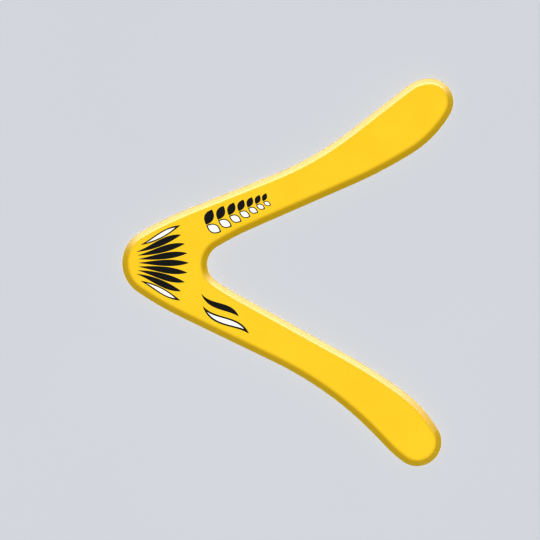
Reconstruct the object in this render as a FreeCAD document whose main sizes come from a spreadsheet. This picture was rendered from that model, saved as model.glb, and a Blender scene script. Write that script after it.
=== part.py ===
import FreeCAD, Part
import math
import os
import Sketcher

# A flat two-armed boomerang cut from birch plywood, rounded along its edge, lacquered yellow and
# printed on its upper face.
#
# Frame: millimetres, +Z up towards the printed face, z = 0 on the underside that it rests on.
# The origin is the centre of the round nose of the elbow. +X runs from the nose to the open side
# and +Y along the span, towards the left arm (left as seen from the elbow, looking along +X).

Vector = FreeCAD.Vector

os.makedirs("parts", exist_ok=True)
doc = FreeCAD.newDocument("boomerang")
sheet = doc.addObject("Spreadsheet::Sheet", "Dimensions")

# Lengths in millimetres, headings and turns in degrees. A heading is measured from the X axis
# towards the arm's own side, so both arms use positive headings.
DIMENSIONS = {
    # elbow
    "nose_radius": 32.5,
    "crotch_reach": 65.2,
    "crotch_drop": 1.2,
    "crotch_radius": 19,
    # left arm, from the nose out to the tip and back to the crotch
    "left_cheek_radius": 340,
    "left_cheek_turn": 8.5,
    "left_outer_heading": 21.8,
    "left_waist_radius": 310,
    "left_flank_heading": 37.8,
    "left_brow_radius": 35,
    "left_brow_turn": 33.5,
    "left_tip_x": 253.2,
    "left_tip_y": 149.5,
    "left_tip_radius": 22,
    "left_belly_radius": 105,
    "left_shoulder_radius": 430,
    "left_inner_heading": 23.6,
    "left_inner_length": 103,
    "left_throat_radius": 260,
    "left_throat_turn": 8,
    # right arm, in the same order
    "right_cheek_radius": 330,
    "right_cheek_turn": 8.5,
    "right_outer_heading": 25.7,
    "right_waist_radius": 330,
    "right_flank_heading": 46.4,
    "right_brow_radius": 110,
    "right_brow_turn": 10.5,
    "right_tip_x": 241.6,
    "right_tip_y": 166.4,
    "right_tip_radius": 22.5,
    "right_belly_radius": 120,
    "right_shoulder_radius": 500,
    "right_inner_heading": 28.9,
    "right_inner_length": 111,
    "right_throat_radius": 270,
    "right_throat_turn": 5.5,
    # plywood, lacquer and ink
    "ply_count": 12,
    "ply_thickness": 0.5,
    "coat_thickness": 0.15,
    "no_inset": 0,
    "ink_thickness": 0.1,
    # cross-section of the lacquered edge, from the flat upper face down to the underside: a broad
    # shoulder, a straight slope, a tight lip, a short upright land and a small round
    "edge_width": 8,
    "edge_shoulder_radius": 6.2,
    "edge_slope": 42,
    "edge_lip_radius": 1,
    "underside_round": 0.6,
    "cutter_margin": 1,
    # printed fan on the elbow: rays from a hub behind the nose, the outermost pair rimmed in black
    "fan_hub_setback": 46,
    "black_ray_pairs": 3,
    "black_ray_step": 7,
    "black_ray_start": 28.5,
    "black_ray_length": 47,
    "black_ray_shortening": 0.8,
    "black_ray_near": 1.8,
    "black_ray_far": 5.5,
    "black_ray_sway": 0.8,
    "rimmed_ray_bearing": 28.5,
    "rimmed_ray_heading": 26.3,
    "rimmed_ray_start": 35,
    "rimmed_ray_length": 41,
    "rimmed_ray_near": 2.6,
    "rimmed_ray_far": 4.6,
    "rimmed_ray_sway": 2,
    "ray_rim": 0.95,
    "ray_point": 5,
    # printed row of leaf pairs on the left arm, shrinking towards the tip
    "row_start_x": 45.6,
    "row_start_y": 35.2,
    "row_heading": 22.4,
    "leaf_pairs": 7,
    "leaf_pitch": 11.9,
    "leaf_length": 15,
    "leaf_width": 8.6,
    "leaf_splay": 46,
    "leaf_gap": 0.7,
    "leaf_rim": 0.8,
    "leaf_point": 1.3,
    "last_leaf_scale": 0.52,
    # printed strokes on the right arm
    "plain_stroke_x": 40.9,
    "plain_stroke_y": -28.3,
    "plain_stroke_heading": -31.5,
    "plain_stroke_length": 41,
    "plain_stroke_near": 2.6,
    "plain_stroke_far": 4.8,
    "plain_stroke_sway": 8.3,
    "rimmed_stroke_x": 42.4,
    "rimmed_stroke_y": -39.9,
    "rimmed_stroke_heading": -31,
    "rimmed_stroke_length": 50,
    "rimmed_stroke_near": 4.5,
    "rimmed_stroke_far": 5.4,
    "rimmed_stroke_sway": 10.1,
    "stroke_rim": 1.35,
    "stroke_point": 6,
}
DERIVED = {
    "wood_thickness": "=ply_count * ply_thickness",
    "thickness": "=wood_thickness + 2 * coat_thickness",
}
for row, (name, value) in enumerate({**DIMENSIONS, **DERIVED}.items(), start=1):
    sheet.set("A%d" % row, name)
    sheet.set("B%d" % row, str(value))
    sheet.setAlias("B%d" % row, name)
doc.recompute()


def size(name):
    return float(sheet.get(name))


def cell(name):
    return "Dimensions." + name


# ---------------------------------------------------------------- plane geometry

def along(heading):
    angle = math.radians(heading)
    return Vector(math.cos(angle), math.sin(angle), 0)


def left_of(heading):
    return along(heading + 90)


def unit(vector):
    return vector / vector.Length


def lines_meet(p, heading_p, q, heading_q):
    a, b, gap = along(heading_p), along(heading_q), q - p
    return p + a * ((gap.x * b.y - gap.y * b.x) / (a.x * b.y - a.y * b.x))


def circles_meet(centre_a, radius_a, centre_b, radius_b):
    """Both points where two circles cross."""
    gap = centre_b - centre_a
    reach = (radius_a ** 2 - radius_b ** 2 + gap.Length ** 2) / (2 * gap.Length)
    rise = math.sqrt(radius_a ** 2 - reach ** 2)
    across = unit(Vector(-gap.y, gap.x, 0))
    foot = centre_a + unit(gap) * reach
    return foot + across * rise, foot - across * rise


class Segment:
    """One stretch of the outline. A stretch without a centre is straight."""

    def __init__(self, name, start, end, centre=None, bulges=False):
        self.name, self.start, self.end, self.centre, self.bulges = name, start, end, centre, bulges

    def mirrored_back(self):
        """The same stretch on the other side of the X axis, travelled the other way."""
        def flip(p):
            return p and Vector(p.x, -p.y, 0)
        return Segment(self.name, flip(self.end), flip(self.start), flip(self.centre), self.bulges)


def arm_segments(side, crotch):
    """The outline of one arm on the +Y side, from the nose out to the tip and back to the crotch."""
    def own(name):
        return size(side + "_" + name)

    nose_radius, crotch_radius, tip_radius = size("nose_radius"), size("crotch_radius"), own("tip_radius")
    outer, flank, inner = own("outer_heading"), own("flank_heading"), own("inner_heading")
    tip = Vector(own("tip_x"), own("tip_y"), 0)

    # outer edge: the nose runs into a nearly straight cheek, then into a straight line
    cheek_side = left_of(outer + own("cheek_turn"))
    cheek_centre = cheek_side * (nose_radius - own("cheek_radius"))
    cheek_start = cheek_side * nose_radius
    cheek_end = cheek_centre + left_of(outer) * own("cheek_radius")

    # the flank line runs over the brow into the round tip
    brow_side = left_of(flank - own("brow_turn"))
    brow_centre = tip + brow_side * (tip_radius - own("brow_radius"))
    brow_start = brow_centre + left_of(flank) * own("brow_radius")
    brow_end = tip + brow_side * tip_radius

    # a hollow waist joins the outer line to the flank line
    corner = lines_meet(cheek_end, outer, brow_start, flank)
    cut = own("waist_radius") * math.tan(math.radians(flank - outer) / 2)
    waist_start = corner - along(outer) * cut
    waist_end = corner + along(flank) * cut
    waist_centre = waist_start + left_of(outer) * own("waist_radius")

    # inner edge, from the crotch: a hollow throat, a straight line, and a long full shoulder
    throat_side = left_of(inner + own("throat_turn"))
    throat_end = crotch + throat_side * crotch_radius
    throat_centre = throat_end - throat_side * own("throat_radius")
    throat_start = throat_centre + left_of(inner) * own("throat_radius")
    inner_start = throat_start + along(inner) * own("inner_length")
    shoulder_centre = inner_start + left_of(inner) * own("shoulder_radius")

    # the belly arc touches both the shoulder and the tip
    belly_radius = own("belly_radius")
    belly_centre = min(
        circles_meet(shoulder_centre, own("shoulder_radius") - belly_radius, tip, belly_radius - tip_radius),
        key=lambda point: point.distanceToPoint(inner_start))
    belly_end = shoulder_centre + unit(belly_centre - shoulder_centre) * own("shoulder_radius")
    belly_start = belly_centre + unit(tip - belly_centre) * belly_radius

    return [
        Segment(side + "_cheek", cheek_start, cheek_end, cheek_centre, bulges=True),
        Segment(side + "_outer", cheek_end, waist_start),
        Segment(side + "_waist", waist_start, waist_end, waist_centre),
        Segment(side + "_flank", waist_end, brow_start),
        Segment(side + "_brow", brow_start, brow_end, brow_centre, bulges=True),
        Segment(side + "_tip", brow_end, belly_start, tip, bulges=True),
        Segment(side + "_belly", belly_start, belly_end, belly_centre, bulges=True),
        Segment(side + "_shoulder", belly_end, inner_start, shoulder_centre, bulges=True),
        Segment(side + "_inner", inner_start, throat_start),
        Segment(side + "_throat", throat_start, throat_end, throat_centre),
    ]


def outline_segments():
    """The whole outline, clockwise from the foremost point of the nose. Every joint is tangent."""
    crotch = Vector(size("crotch_reach"), -size("crotch_drop"), 0)
    left = arm_segments("left", crotch)
    right = [s.mirrored_back() for s in reversed(arm_segments("right", Vector(crotch.x, -crotch.y, 0)))]
    foremost = Vector(-size("nose_radius"), 0, 0)
    return (
        [Segment("left_nose", foremost, left[0].start, Vector(), bulges=True)] + left
        + [Segment("crotch", left[-1].end, right[0].start, crotch)] + right
        + [Segment("right_nose", right[-1].end, foremost, Vector(), bulges=True)])


SEGMENTS = outline_segments()


# ---------------------------------------------------------------- rounded plate

def attach(sketch, body, plane):
    for feature in body.Origin.OriginFeatures:
        if feature.Role == plane:
            sketch.AttachmentSupport = [(feature, "")]
            sketch.MapMode = "FlatFace"


def bind(sketch, kind, *items, name, expression):
    """Add a dimensional constraint at its present value, then drive it from the sheet."""
    index = sketch.addConstraint(Sketcher.Constraint(kind, *items))
    sketch.renameConstraint(index, name)
    sketch.setExpression("Constraints." + name, expression)


def draw_outline(body, name):
    """The fully constrained outline of the boomerang on the XY plane."""
    sketch = body.newObject("Sketcher::SketchObject", name)
    attach(sketch, body, "XY_Plane")
    origin = (-1, 1)
    middle = 3
    first_point = {}
    last_point = {}
    for index, segment in enumerate(SEGMENTS):
        first_point[index], last_point[index] = 1, 2
        if segment.centre is None:
            ends = [segment.start, segment.end]
            # straight lines are drawn from the elbow outwards, so that their angle is the heading
            if segment.end.x < segment.start.x:
                ends.reverse()
                first_point[index], last_point[index] = 2, 1
            sketch.addGeometry(Part.LineSegment(*ends), False)
            continue
        spokes = [segment.start - segment.centre, segment.end - segment.centre]
        # arcs run anticlockwise, and the outline travels its bulging arcs clockwise
        if segment.bulges:
            spokes.reverse()
            first_point[index], last_point[index] = 2, 1
        angles = [math.atan2(spoke.y, spoke.x) for spoke in spokes]
        circle = Part.Circle(segment.centre, Vector(0, 0, 1), spokes[0].Length)
        sketch.addGeometry(Part.ArcOfCircle(circle, *angles), False)

    index_of = {segment.name: index for index, segment in enumerate(SEGMENTS)}
    last = len(SEGMENTS) - 1
    for index in range(last):
        sketch.addConstraint(Sketcher.Constraint(
            "Tangent", index, last_point[index], index + 1, first_point[index + 1]))
    sketch.addConstraint(Sketcher.Constraint("Coincident", last, last_point[last], 0, first_point[0]))
    sketch.addConstraint(Sketcher.Constraint("PointOnObject", 0, first_point[0], -1))
    for nose in ("left_nose", "right_nose"):
        sketch.addConstraint(Sketcher.Constraint("Coincident", index_of[nose], middle, *origin))
    bind(sketch, "Radius", 0, size("nose_radius"), name="nose_radius", expression=cell("nose_radius"))

    crotch = index_of["crotch"]
    bind(sketch, "Radius", crotch, size("crotch_radius"),
         name="crotch_radius", expression=cell("crotch_radius"))
    bind(sketch, "DistanceX", *origin, crotch, middle, size("crotch_reach"),
         name="crotch_reach", expression=cell("crotch_reach"))
    bind(sketch, "DistanceY", crotch, middle, *origin, size("crotch_drop"),
         name="crotch_drop", expression=cell("crotch_drop"))

    for side, sign in (("left", 1), ("right", -1)):
        for part in ("cheek", "waist", "brow", "tip", "belly", "shoulder", "throat"):
            key = side + "_" + part + "_radius"
            bind(sketch, "Radius", index_of[side + "_" + part], size(key), name=key, expression=cell(key))
        for part in ("cheek", "brow", "throat"):
            key = side + "_" + part + "_turn"
            bind(sketch, "Angle", index_of[side + "_" + part], math.radians(size(key)),
                 name=key, expression=cell(key) + " * 1 deg")
        for part in ("outer", "flank", "inner"):
            key = side + "_" + part + "_heading"
            bind(sketch, "Angle", index_of[side + "_" + part], sign * math.radians(size(key)),
                 name=key, expression="%d deg * %s" % (sign, cell(key)))
        key = side + "_inner_length"
        bind(sketch, "Distance", index_of[side + "_inner"], size(key), name=key, expression=cell(key))
        tip = (index_of[side + "_tip"], middle)
        key = side + "_tip_x"
        bind(sketch, "DistanceX", *origin, *tip, size(key), name=key, expression=cell(key))
        key = side + "_tip_y"
        ends = origin + tip if sign > 0 else tip + origin
        bind(sketch, "DistanceY", *ends, size(key), name=key, expression=cell(key))
    return sketch


def draw_edge_cutter(body, name, inset):
    """The cross-section cut away all round the edge, drawn on the XZ plane at the foremost point.

    What it leaves is set `inset` inside the lacquer all the way from the upper face to the underside.
    """
    sketch = body.newObject("Sketcher::SketchObject", name)
    attach(sketch, body, "XZ_Plane")
    depth, margin = size(inset), size("cutter_margin")
    outermost, top = -size("nose_radius"), size("thickness")
    slope_angle = math.radians(size("edge_slope"))
    shoulder_radius, lip_radius = size("edge_shoulder_radius"), size("edge_lip_radius")
    round_radius = size("underside_round")

    shoulder_centre = Vector(outermost + size("edge_width"), top - shoulder_radius, 0)
    lip_x = outermost + lip_radius
    slope_run = shoulder_centre.x - lip_x - (shoulder_radius - lip_radius) * math.sin(slope_angle)
    slope_drop = slope_run * math.tan(slope_angle)
    lip_y = shoulder_centre.y + (shoulder_radius - lip_radius) * math.cos(slope_angle) - slope_drop
    lip_centre = Vector(lip_x, lip_y, 0)
    round_centre = Vector(outermost + round_radius, round_radius, 0)

    def point_on(centre, radius, lean):
        """The point of an arc where the surface leans out by this angle from level."""
        return centre + Vector(-math.sin(lean), math.cos(lean), 0) * (radius - depth)

    def arc(centre, radius, start_lean, end_lean):
        circle = Part.Circle(centre, Vector(0, 0, 1), radius - depth)
        return Part.ArcOfCircle(circle, start_lean + math.pi / 2, end_lean + math.pi / 2)

    level, upright, underneath = 0, math.pi / 2, math.pi
    face_edge = point_on(shoulder_centre, shoulder_radius, level)
    underside_edge = point_on(round_centre, round_radius, underneath)
    surround = [
        underside_edge,
        Vector(underside_edge.x, -margin, 0),
        Vector(outermost - margin, -margin, 0),
        Vector(outermost - margin, top + margin, 0),
        Vector(face_edge.x, top + margin, 0),
        face_edge,
    ]
    pieces = [
        arc(shoulder_centre, shoulder_radius, level, slope_angle),
        Part.LineSegment(
            point_on(shoulder_centre, shoulder_radius, slope_angle),
            point_on(lip_centre, lip_radius, slope_angle)),
        arc(lip_centre, lip_radius, slope_angle, upright),
        Part.LineSegment(
            point_on(lip_centre, lip_radius, upright), point_on(round_centre, round_radius, upright)),
        arc(round_centre, round_radius, upright, underneath),
    ]
    pieces += [Part.LineSegment(start, end) for start, end in zip(surround, surround[1:])]
    shoulder, slope, lip, land, under_round, below, floor, outside, ceiling, above = range(len(pieces))
    for piece in pieces:
        sketch.addGeometry(piece, False)

    first, last, middle = 1, 2, 3
    origin = (-1, 1)
    for item in (shoulder, slope, lip, land):
        sketch.addConstraint(Sketcher.Constraint("Tangent", item, last, item + 1, first))
    for item in (under_round, below, floor, outside, ceiling):
        sketch.addConstraint(Sketcher.Constraint("Coincident", item, last, item + 1, first))
    sketch.addConstraint(Sketcher.Constraint("Coincident", above, last, shoulder, first))
    for item in (land, below, outside, above):
        sketch.addConstraint(Sketcher.Constraint("Vertical", item))
    for item in (floor, ceiling):
        sketch.addConstraint(Sketcher.Constraint("Horizontal", item))
    sketch.addConstraint(Sketcher.Constraint("Vertical", shoulder, first, shoulder, middle))
    sketch.addConstraint(Sketcher.Constraint("Vertical", under_round, last, under_round, middle))

    nose_cell, top_cell, inset_cell = cell("nose_radius"), cell("thickness"), cell(inset)
    margin_cell = cell("cutter_margin")
    for item, key in (
            (shoulder, "edge_shoulder_radius"), (lip, "edge_lip_radius"), (under_round, "underside_round")):
        bind(sketch, "Radius", item, size(key) - depth, name=key, expression=cell(key) + " - " + inset_cell)
    bind(sketch, "Angle", shoulder, slope_angle,
         name="edge_slope", expression=cell("edge_slope") + " * 1 deg")
    bind(sketch, "DistanceX", shoulder, first, *origin, -face_edge.x,
         name="flat_reach", expression=nose_cell + " - " + cell("edge_width"))
    bind(sketch, "DistanceY", *origin, shoulder, first, face_edge.y,
         name="flat_height", expression=top_cell + " - " + inset_cell)
    bind(sketch, "DistanceX", lip, middle, *origin, -lip_centre.x,
         name="lip_reach", expression=nose_cell + " - " + cell("edge_lip_radius"))
    bind(sketch, "DistanceY", *origin, under_round, middle, round_centre.y,
         name="round_height", expression=cell("underside_round"))
    bind(sketch, "DistanceX", outside, first, *origin, margin - outermost,
         name="outside_reach", expression=nose_cell + " + " + margin_cell)
    bind(sketch, "DistanceY", floor, first, *origin, margin,
         name="floor_depth", expression=margin_cell)
    bind(sketch, "DistanceY", *origin, ceiling, first, top + margin,
         name="ceiling_height", expression=top_cell + " + " + margin_cell)
    return sketch


def rounded_plate(name, inset):
    """The whole plate as a body, with its surface set `inset` inside the surface of the lacquer."""
    body = doc.addObject("PartDesign::Body", name)
    outline = draw_outline(body, name + "_outline")
    outline.AttachmentOffset = FreeCAD.Placement(Vector(0, 0, size(inset)), FreeCAD.Rotation())
    outline.setExpression("AttachmentOffset.Base.z", cell(inset))
    doc.recompute()
    plate = body.newObject("PartDesign::Pad", name + "_plate")
    plate.Profile = outline
    plate.setExpression("Length", cell("thickness") + " - 2 * " + cell(inset))
    section = draw_edge_cutter(body, name + "_edge_section", inset)
    doc.recompute()
    square_edged = plate.Shape.Volume
    edge = body.newObject("PartDesign::SubtractivePipe", name + "_edge")
    edge.Profile = section
    edge.Spine = (outline, [])
    edge.Mode = "Binormal"
    edge.Binormal = Vector(0, 0, 1)
    doc.recompute()
    if not edge.Shape.Volume < square_edged:
        raise RuntimeError(name + ": the edge is still square")
    return body


lacquered = rounded_plate("Lacquered_plate", "no_inset")
wood = rounded_plate("Bare_plate", "coat_thickness")


# ---------------------------------------------------------------- plies and lacquer

def make_ply(number):
    """One veneer: the slice of the bare plate between two glue lines, counted from the underside."""
    plan = lacquered.Shape.BoundBox
    slab = doc.addObject("Part::Box", "Veneer_slab_%02d" % number)
    slab.Length = plan.XLength
    slab.Width = plan.YLength
    slab.Placement.Base = Vector(plan.XMin, plan.YMin, 0)
    slab.setExpression("Height", cell("ply_thickness"))
    slab.setExpression(
        "Placement.Base.z", "%s + %d * %s" % (cell("coat_thickness"), number - 1, cell("ply_thickness")))
    ply = doc.addObject("Part::Common", "Ply_%02d" % number)
    ply.Base = wood
    ply.Tool = slab
    ply.Label = "ply_%02d" % number
    return ply


def make_lacquer_coat():
    """The yellow lacquer: a thin closed skin all round the wood."""
    coat = doc.addObject("Part::Cut", "Lacquer_coat")
    coat.Base = lacquered
    coat.Tool = wood
    coat.Label = "yellow_lacquer_coat"
    return coat


# ---------------------------------------------------------------- printed decoration

# how far out the middle of a cubic side lies, as a share of its two control points' distance
BLADE_FULLNESS = 0.75
# how far the second pair of control points sways, as a share of the first pair's sway
FAR_SWAY = 0.6


class Blade:
    """A pointed shape between two cubic curves from its base to its tip.

    `near` and `far` are the half widths at the control points one and two thirds of the way along.
    `sway` pushes the near pair of control points to the right and the far pair to the left by most
    of that, which bends the blade into an S.
    """

    def __init__(self, base, heading, length, near, far, sway=0):
        ahead, self.aside = along(heading), left_of(heading)
        self.length, self.near, self.far = length, near, far
        self.spine = [
            base,
            base + ahead * (length / 3) - self.aside * sway,
            base + ahead * (2 * length / 3) + self.aside * (FAR_SWAY * sway),
            base + ahead * length,
        ]

    def curves(self, mirrored):
        """The two sides as B-splines, both running from base to tip."""
        sides = []
        for side in (1, -1):
            near, far = self.aside * (self.near * side), self.aside * (self.far * side)
            poles = [self.spine[0], self.spine[1] + near, self.spine[2] + far, self.spine[3]]
            if mirrored:
                poles = [Vector(p.x, -p.y, 0) for p in poles]
            curve = Part.BezierCurve()
            curve.setPoles(poles)
            sides.append(curve.toBSpline())
        return sides

    def inside(self, rim, point):
        """The smaller blade that leaves a rim along both sides and a solid point at each end."""
        spine = Part.BezierCurve()
        spine.setPoles(self.spine)
        spine.segment(point / self.length, 1 - point / self.length)
        narrower = rim / BLADE_FULLNESS
        inner = Blade(self.spine[0], 0, self.length, self.near - narrower, self.far - narrower)
        inner.aside, inner.spine = self.aside, spine.getPoles()
        return inner


def black_rays():
    """The black rays on the axis and on its left."""
    hub = Vector(-size("fan_hub_setback"), 0, 0)
    rays = []
    for step in range(int(size("black_ray_pairs")) + 1):
        heading = step * size("black_ray_step")
        rays.append(Blade(
            hub + along(heading) * size("black_ray_start"), heading,
            size("black_ray_length") - step * size("black_ray_shortening"),
            size("black_ray_near"), size("black_ray_far"), step * size("black_ray_sway")))
    return rays


def rimmed_ray():
    """The outermost ray on the left."""
    hub = Vector(-size("fan_hub_setback"), 0, 0)
    return Blade(
        hub + along(size("rimmed_ray_bearing")) * size("rimmed_ray_start"), size("rimmed_ray_heading"),
        size("rimmed_ray_length"), size("rimmed_ray_near"), size("rimmed_ray_far"),
        size("rimmed_ray_sway"))


def leaves():
    """The leaf pairs along the left arm: black leaves, rimmed leaves, and the white inside those."""
    start = Vector(size("row_start_x"), size("row_start_y"), 0)
    heading, splay = size("row_heading"), size("leaf_splay")
    pairs = int(size("leaf_pairs"))
    black, rimmed, white = [], [], []
    reach = 0
    for index in range(pairs):
        scale = 1 - (1 - size("last_leaf_scale")) * index / (pairs - 1)
        stem = start + along(heading) * reach
        apart = left_of(heading) * (size("leaf_gap") / 2)
        length, swell = size("leaf_length") * scale, size("leaf_width") / 2 / BLADE_FULLNESS * scale
        black.append(Blade(stem + apart, heading + splay, length, swell, swell))
        rimmed.append(Blade(stem - apart, heading - splay, length, swell, swell))
        # the rim shrinks more slowly than the leaf, so that the last one can still be printed
        white.append(rimmed[-1].inside(size("leaf_rim") * scale ** 0.5, size("leaf_point") * scale ** 0.5))
        reach += size("leaf_pitch") * scale
    return black, rimmed, white


def stroke(kind):
    def own(name):
        return size(kind + "_stroke_" + name)
    return Blade(
        Vector(own("x"), own("y"), 0), own("heading"), own("length"), own("near"), own("far"), own("sway"))


def make_print(label, blades):
    """One colour of ink, printed on the lacquer. A blade inside another one leaves a window in it."""
    name = label.capitalize()
    body = doc.addObject("PartDesign::Body", name)
    body.AllowCompound = True
    artwork = body.newObject("Sketcher::SketchObject", name + "_artwork")
    attach(artwork, body, "XY_Plane")
    artwork.setExpression("AttachmentOffset.Base.z", cell("thickness"))
    for blade, mirrored in blades:
        for curve in blade.curves(mirrored):
            artwork.addGeometry(curve, False)
    doc.recompute()
    ink = body.newObject("PartDesign::Pad", name + "_ink")
    ink.Profile = artwork
    ink.setExpression("Length", cell("ink_thickness"))
    body.Label = label
    return body


def once(blades):
    return [(blade, False) for blade in blades]


def both_ways(blades):
    """Each blade with its mirror image across the X axis."""
    return [(blade, mirrored) for blade in blades for mirrored in (False, True)]


plies = [make_ply(number) for number in range(1, int(size("ply_count")) + 1)]
coat = make_lacquer_coat()

axis_ray, *side_rays = black_rays()
outer_ray = rimmed_ray()
ray_window = outer_ray.inside(size("ray_rim"), size("ray_point"))
black_leaves, rimmed_leaves, white_leaves = leaves()
rimmed_stroke = stroke("rimmed")
stroke_window = rimmed_stroke.inside(size("stroke_rim"), size("stroke_point"))

prints = [
    make_print("fan_black_print", once([axis_ray]) + both_ways(side_rays + [outer_ray, ray_window])),
    make_print("fan_white_print", both_ways([ray_window])),
    make_print("leaf_row_black_print", once(black_leaves + rimmed_leaves + white_leaves)),
    make_print("leaf_row_white_print", once(white_leaves)),
    make_print("stroke_black_print", once([stroke("plain")])),
    make_print("stroke_rim_print", once([rimmed_stroke, stroke_window])),
    make_print("stroke_white_print", once([stroke_window])),
]
doc.recompute()


# ---------------------------------------------------------------- checks and STEP files

for item in doc.Objects:
    if "Invalid" in item.State or "Error" in item.State:
        raise RuntimeError(item.Name + " is " + ", ".join(item.State))

for piece in plies + [coat] + prints:
    if piece.Shape.isNull() or not piece.Shape.isValid() or not piece.Shape.Solids:
        raise RuntimeError(piece.Label + " has no valid solid")
    piece.Shape.exportStep("parts/" + piece.Label + ".step")
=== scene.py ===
import math

import bpy
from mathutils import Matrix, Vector


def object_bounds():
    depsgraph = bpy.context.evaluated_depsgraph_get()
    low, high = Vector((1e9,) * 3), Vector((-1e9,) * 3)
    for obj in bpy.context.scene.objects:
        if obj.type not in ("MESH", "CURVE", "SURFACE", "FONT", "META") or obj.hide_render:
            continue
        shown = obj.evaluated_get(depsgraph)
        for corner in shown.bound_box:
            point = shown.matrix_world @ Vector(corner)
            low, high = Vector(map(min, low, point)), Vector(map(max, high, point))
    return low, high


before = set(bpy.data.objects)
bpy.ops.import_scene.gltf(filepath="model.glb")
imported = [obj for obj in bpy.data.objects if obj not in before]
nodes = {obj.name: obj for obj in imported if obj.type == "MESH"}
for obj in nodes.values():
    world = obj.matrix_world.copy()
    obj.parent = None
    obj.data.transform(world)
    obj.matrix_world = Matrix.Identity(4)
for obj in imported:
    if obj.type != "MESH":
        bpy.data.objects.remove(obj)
cad_low, cad_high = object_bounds()
scene = bpy.context.scene

MM = 0.001

# the colour sockets of a Mix node, whose names its number and vector sockets share
MIX_AMOUNT, MIX_A, MIX_B, MIX_RESULT = 0, 6, 7, 2

# how level the lacquer has to be for the painted shade round its edge (a darker yellow standing in
# for shading) to fade out, from full to none
PAINTED_SHADE_FULL_BELOW, PAINTED_SHADE_NONE_ABOVE = 0.74, 0.97
# and for its edge gloss to fade to satin
GLOSSY_BELOW, SATIN_ABOVE = 0.88, 0.999

# how far the floor spreads each way, and how far below the underside it lies
FLOOR_REACH = 20_000 * MM
FLOOR_GAP = 0.02 * MM

# the middle of the picture on the printed face, and the width it shows there
PICTURE_MIDDLE = Vector((104.8, -6.6, 6.3)) * MM
PICTURE_WIDTH = 501.1 * MM


# ---------------------------------------------------------------- node helpers

def srgb(red, green, blue):
    """An 8-bit screen colour as linear RGBA."""
    def linear(channel):
        c = channel / 255
        return c / 12.92 if c <= 0.04045 else ((c + 0.055) / 1.055) ** 2.4
    return (linear(red), linear(green), linear(blue), 1)


class Graph:
    """Adds nodes to one node tree and joins them up."""

    def __init__(self, tree):
        self.tree = tree

    def add(self, kind, **settings):
        node = self.tree.nodes.new("ShaderNode" + kind)
        for key, value in settings.items():
            setattr(node, key, value)
        return node

    def wire(self, socket, value):
        """Joins another socket to this input, or sets its value."""
        if isinstance(value, bpy.types.NodeSocket):
            self.tree.links.new(value, socket)
        else:
            socket.default_value = value

    def math(self, operation, a, b=0):
        node = self.add("Math", operation=operation)
        self.wire(node.inputs[0], a)
        self.wire(node.inputs[1], b)
        return node.outputs["Value"]

    def vector_math(self, operation, a, b=(0, 0, 0)):
        node = self.add("VectorMath", operation=operation)
        self.wire(node.inputs[0], a)
        self.wire(node.inputs[1], b)
        return node.outputs["Value" if operation == "LENGTH" else "Vector"]

    def mix(self, amount, a, b):
        """Colour `a` where the amount is 0, and `b` where it is 1."""
        node = self.add("Mix", data_type="RGBA")
        self.wire(node.inputs[MIX_AMOUNT], amount)
        self.wire(node.inputs[MIX_A], a)
        self.wire(node.inputs[MIX_B], b)
        return node.outputs[MIX_RESULT]

    def spread(self, value, low, high, to_low=0, to_high=1, interpolation="LINEAR"):
        """Maps a range of values onto another one, held at both ends."""
        node = self.add("MapRange", interpolation_type=interpolation)
        self.wire(node.inputs["Value"], value)
        ends = {"From Min": low, "From Max": high, "To Min": to_low, "To Max": to_high}
        for name, number in ends.items():
            node.inputs[name].default_value = number
        return node.outputs["Result"]


class Material(Graph):
    """A procedural material in object space, with lengths in metres."""

    def __init__(self, name):
        self.material = bpy.data.materials.new(name)
        self.material.use_nodes = True
        super().__init__(self.material.node_tree)
        self.bsdf = self.tree.nodes["Principled BSDF"]
        coordinates = self.add("TexCoord")
        self.place = coordinates.outputs["Object"]
        self.facing = coordinates.outputs["Normal"]
        self.height = None

    def set(self, name, value):
        self.wire(self.bsdf.inputs[name], value)

    def stretched(self, x, y, z):
        """Object coordinates divided by a feature size along each axis."""
        node = self.add("Mapping")
        self.wire(node.inputs["Vector"], self.place)
        node.inputs["Scale"].default_value = (1 / x, 1 / y, 1 / z)
        return node.outputs["Vector"]

    def noise(self, size, detail=2, roughness=0.5, distortion=0):
        """Noise whose features are `size` metres across, or a size along each axis."""
        sizes = size if isinstance(size, tuple) else (size, size, size)
        node = self.add("TexNoise")
        self.wire(node.inputs["Vector"], self.stretched(*sizes))
        node.inputs["Scale"].default_value = 1
        node.inputs["Detail"].default_value = detail
        node.inputs["Roughness"].default_value = roughness
        node.inputs["Distortion"].default_value = distortion
        return node.outputs["Fac"]

    def level(self):
        """1 where the surface faces straight up or down, 0 where it is upright."""
        node = self.add("SeparateXYZ")
        self.wire(node.inputs["Vector"], self.facing)
        return self.math("ABSOLUTE", node.outputs["Z"])

    def raise_by(self, value, depth):
        """Adds relief, `depth` metres high where the value is 1."""
        step = self.math("MULTIPLY", value, depth)
        self.height = step if self.height is None else self.math("ADD", self.height, step)

    def done(self):
        """The material, with all its relief joined in."""
        if self.height is not None:
            bump = self.add("Bump")
            bump.inputs["Strength"].default_value = 1
            bump.inputs["Distance"].default_value = 1
            self.wire(bump.inputs["Height"], self.height)
            self.set("Normal", bump.outputs["Normal"])
            self.set("Coat Normal", bump.outputs["Normal"])
        return self.material


# ---------------------------------------------------------------- materials

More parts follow.
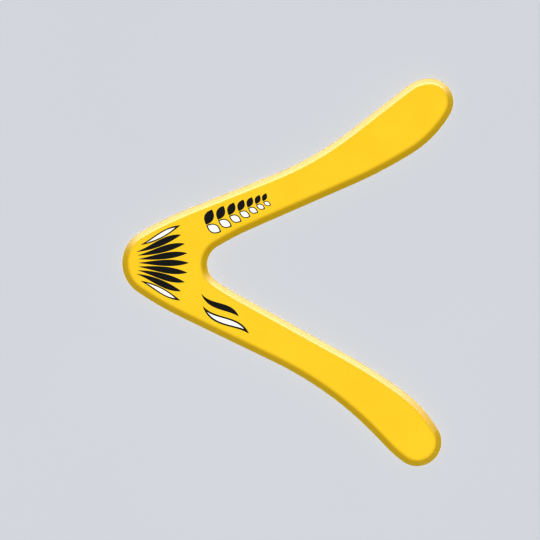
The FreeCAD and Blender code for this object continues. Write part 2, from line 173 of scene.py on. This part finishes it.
def yellow_lacquer():
    """Opaque yellow paint: satin on the flat faces, and glossier round the edge, where its colour is
    painted a darker yellow as shade.

    The grain of the wood just shows through it.
    """
    m = Material("yellow_lacquer_paint")
    cloud = m.noise(45 * MM, detail=3)
    mottle = m.noise(5 * MM, detail=3)
    nib = m.noise(0.9 * MM, detail=1)
    level = m.level()
    colour = m.mix(m.spread(cloud, 0.35, 0.65), srgb(252, 218, 73), srgb(252, 220, 77))
    colour = m.mix(m.spread(mottle, 0.5, 0.75, to_high=0.2), colour, srgb(251, 213, 64))
    colour = m.mix(m.spread(nib, 0.62, 0.75, to_high=0.06), colour, srgb(242, 200, 40))
    # painted shade: the colour turns a darker yellow as the surface tilts towards upright, standing
    # in for the shading of the rounded edge
    painted_edge_shade = m.spread(level, PAINTED_SHADE_FULL_BELOW, PAINTED_SHADE_NONE_ABOVE, to_low=1, to_high=0)
    m.set("Base Color", m.mix(painted_edge_shade, colour, srgb(237, 204, 33)))
    m.set("Roughness", m.spread(cloud, 0.3, 0.7, to_low=0.34, to_high=0.42))
    m.set("Specular IOR Level", 0.03)
    m.set("Coat Weight", m.spread(level, GLOSSY_BELOW, SATIN_ABOVE, to_low=1, to_high=0.1))
    m.set("Coat IOR", 2.4)
    m.set("Coat Roughness", m.spread(cloud, 0.3, 0.7, to_low=0.25, to_high=0.27))
    grain = m.noise((55 * MM, 1.3 * MM, 55 * MM), detail=3, distortion=0.3)
    orange_peel = m.noise(1.7 * MM, detail=2)
    m.raise_by(grain, 0.004 * MM)
    m.raise_by(orange_peel, 0.0012 * MM)
    m.raise_by(m.spread(nib, 0.66, 0.8), 0.0008 * MM)
    return m.done()


def screen_ink(name, colour, worn):
    """Screen ink: satin, with a fine mesh grain, and a little thinner here and there."""
    m = Material(name)
    patch = m.noise(3 * MM, detail=4, roughness=0.7)
    pinhole = m.noise(0.35 * MM, detail=1)
    thin_patch = m.spread(patch, 0.5, 0.8, to_high=0.4)
    thin_spot = m.spread(pinhole, 0.72, 0.8, to_high=0.6)
    m.set("Base Color", m.mix(m.math("MAXIMUM", thin_patch, thin_spot), colour, worn))
    m.set("Roughness", m.spread(patch, 0.3, 0.7, to_low=0.34, to_high=0.5))
    m.set("Specular IOR Level", 0.15)
    m.raise_by(m.noise(0.25 * MM, detail=2), 0.004 * MM)
    m.raise_by(m.spread(pinhole, 0.72, 0.8), -0.01 * MM)
    return m.done()


def birch(name, along_span, early, late):
    """A birch veneer, its grain running along the span or across it."""
    m = Material(name)
    size = (1.1 * MM, 70 * MM, 1.1 * MM) if along_span else (70 * MM, 1.1 * MM, 1.1 * MM)
    fibre = m.noise(size, detail=6, roughness=0.65, distortion=0.4)
    figure = m.noise(tuple(9 * length for length in size), detail=2, distortion=0.8)
    colour = m.mix(m.spread(fibre, 0.35, 0.7), early, late)
    m.set("Base Color", m.mix(m.spread(figure, 0.4, 0.7, to_high=0.35), colour, late))
    m.set("Roughness", m.spread(fibre, 0.3, 0.7, to_low=0.6, to_high=0.8))
    m.raise_by(fibre, 0.03 * MM)
    return m.done()


def studio_paper():
    """Matt, pale and almost even."""
    m = Material("studio_paper")
    m.set("Base Color", m.mix(m.noise(400 * MM), srgb(216, 218, 222), srgb(219, 221, 225)))
    m.set("Roughness", 0.9)
    m.set("Specular IOR Level", 0)
    return m.done()


def assign(material, *names):
    for name in names:
        for slot in nodes[name].material_slots:
            slot.material = material


plies = sorted(name for name in nodes if name.startswith("ply_"))
assign(birch("birch_along_span", True, srgb(232, 205, 160), srgb(205, 168, 116)), *plies[0::2])
assign(birch("birch_across_span", False, srgb(226, 196, 148), srgb(196, 156, 104)), *plies[1::2])
assign(yellow_lacquer(), "yellow_lacquer_coat")
black = screen_ink("black_screen_ink", srgb(54, 54, 54), srgb(66, 65, 60))
white = screen_ink("white_screen_ink", srgb(252, 252, 250), srgb(246, 240, 214))
for name in nodes:
    if name.endswith("_black_print") or name == "stroke_rim_print":
        assign(black, name)
    if name.endswith("_white_print"):
        assign(white, name)


# ---------------------------------------------------------------- floor, light and camera

def make_floor():
    mesh = bpy.data.meshes.new("studio_floor")
    corners = [(x * FLOOR_REACH, y * FLOOR_REACH, 0) for x, y in ((-1, -1), (1, -1), (1, 1), (-1, 1))]
    mesh.from_pydata(corners, [], [(0, 1, 2, 3)])
    mesh.materials.append(studio_paper())
    floor = bpy.data.objects.new("studio_floor", mesh)
    floor.location.z = cad_low.z - FLOOR_GAP
    scene.collection.objects.link(floor)


def make_world(fill, backdrop, glow, centre, reach, core=0.6, fringe=1.25):
    """A faint even fill light. The camera sees a pale backdrop, and glossy surfaces a long softbox.

    The first three are linear RGBA colours. The softbox lies in the direction `centre`, and spreads
    by `reach` from there along each axis: full up to `core` times that, and fading to nothing at
    `fringe` times.
    """
    world = bpy.data.worlds.new("studio_world")
    world.use_nodes = True
    graph = Graph(world.node_tree)
    direction = graph.add("TexCoord").outputs["Generated"]
    offset = graph.vector_math("SUBTRACT", direction, Vector(centre).normalized())
    distance = graph.vector_math("LENGTH", graph.vector_math("DIVIDE", offset, reach))
    softbox = graph.spread(distance, fringe, core, interpolation="SMOOTHSTEP")
    ray = graph.add("LightPath").outputs
    mirrored = graph.math("MULTIPLY", ray["Is Glossy Ray"], softbox)
    light = graph.mix(mirrored, fill, glow)
    background = world.node_tree.nodes["Background"].inputs["Color"]
    graph.wire(background, graph.mix(ray["Is Camera Ray"], light, backdrop))
    scene.world = world


def make_sun(name, azimuth, elevation, strength, softness):
    """A distant light that leaves no highlight. Azimuth 0 shines from +Y, and 90 from +X."""
    light = bpy.data.lights.new(name, "SUN")
    light.energy = strength
    light.angle = math.radians(softness)
    a, e = math.radians(azimuth), math.radians(elevation)
    towards = Vector((math.sin(a) * math.cos(e), math.cos(a) * math.cos(e), math.sin(e)))
    lamp = bpy.data.objects.new(name, light)
    lamp.rotation_euler = towards.to_track_quat("Z", "Y").to_euler()
    lamp.visible_glossy = False
    scene.collection.objects.link(lamp)


def make_camera():
    """A long lens looking straight down at the printed face."""
    camera = bpy.data.cameras.new("camera")
    camera.type = "PERSP"
    camera.sensor_width = 36
    camera.lens = 200
    camera.clip_end = 50
    distance = PICTURE_WIDTH * camera.lens / camera.sensor_width
    holder = bpy.data.objects.new("camera", camera)
    holder.location = PICTURE_MIDDLE + Vector((0, 0, distance))
    scene.collection.objects.link(holder)
    scene.camera = holder


make_floor()
make_world(
    fill=(0.02, 0.02, 0.02, 1), backdrop=(0.753, 0.769, 0.802, 1), glow=(3.5, 2.85, 3.6, 1),
    centre=(0, 1, 0.12), reach=(0.97, 1.1, 0.7))
make_sun("key_light", azimuth=0, elevation=85, strength=3.34, softness=12)
make_camera()
scene.view_settings.view_transform = "Standard"
# below 1, this deepens the darker tones and leaves white alone
scene.view_settings.gamma = 0.66
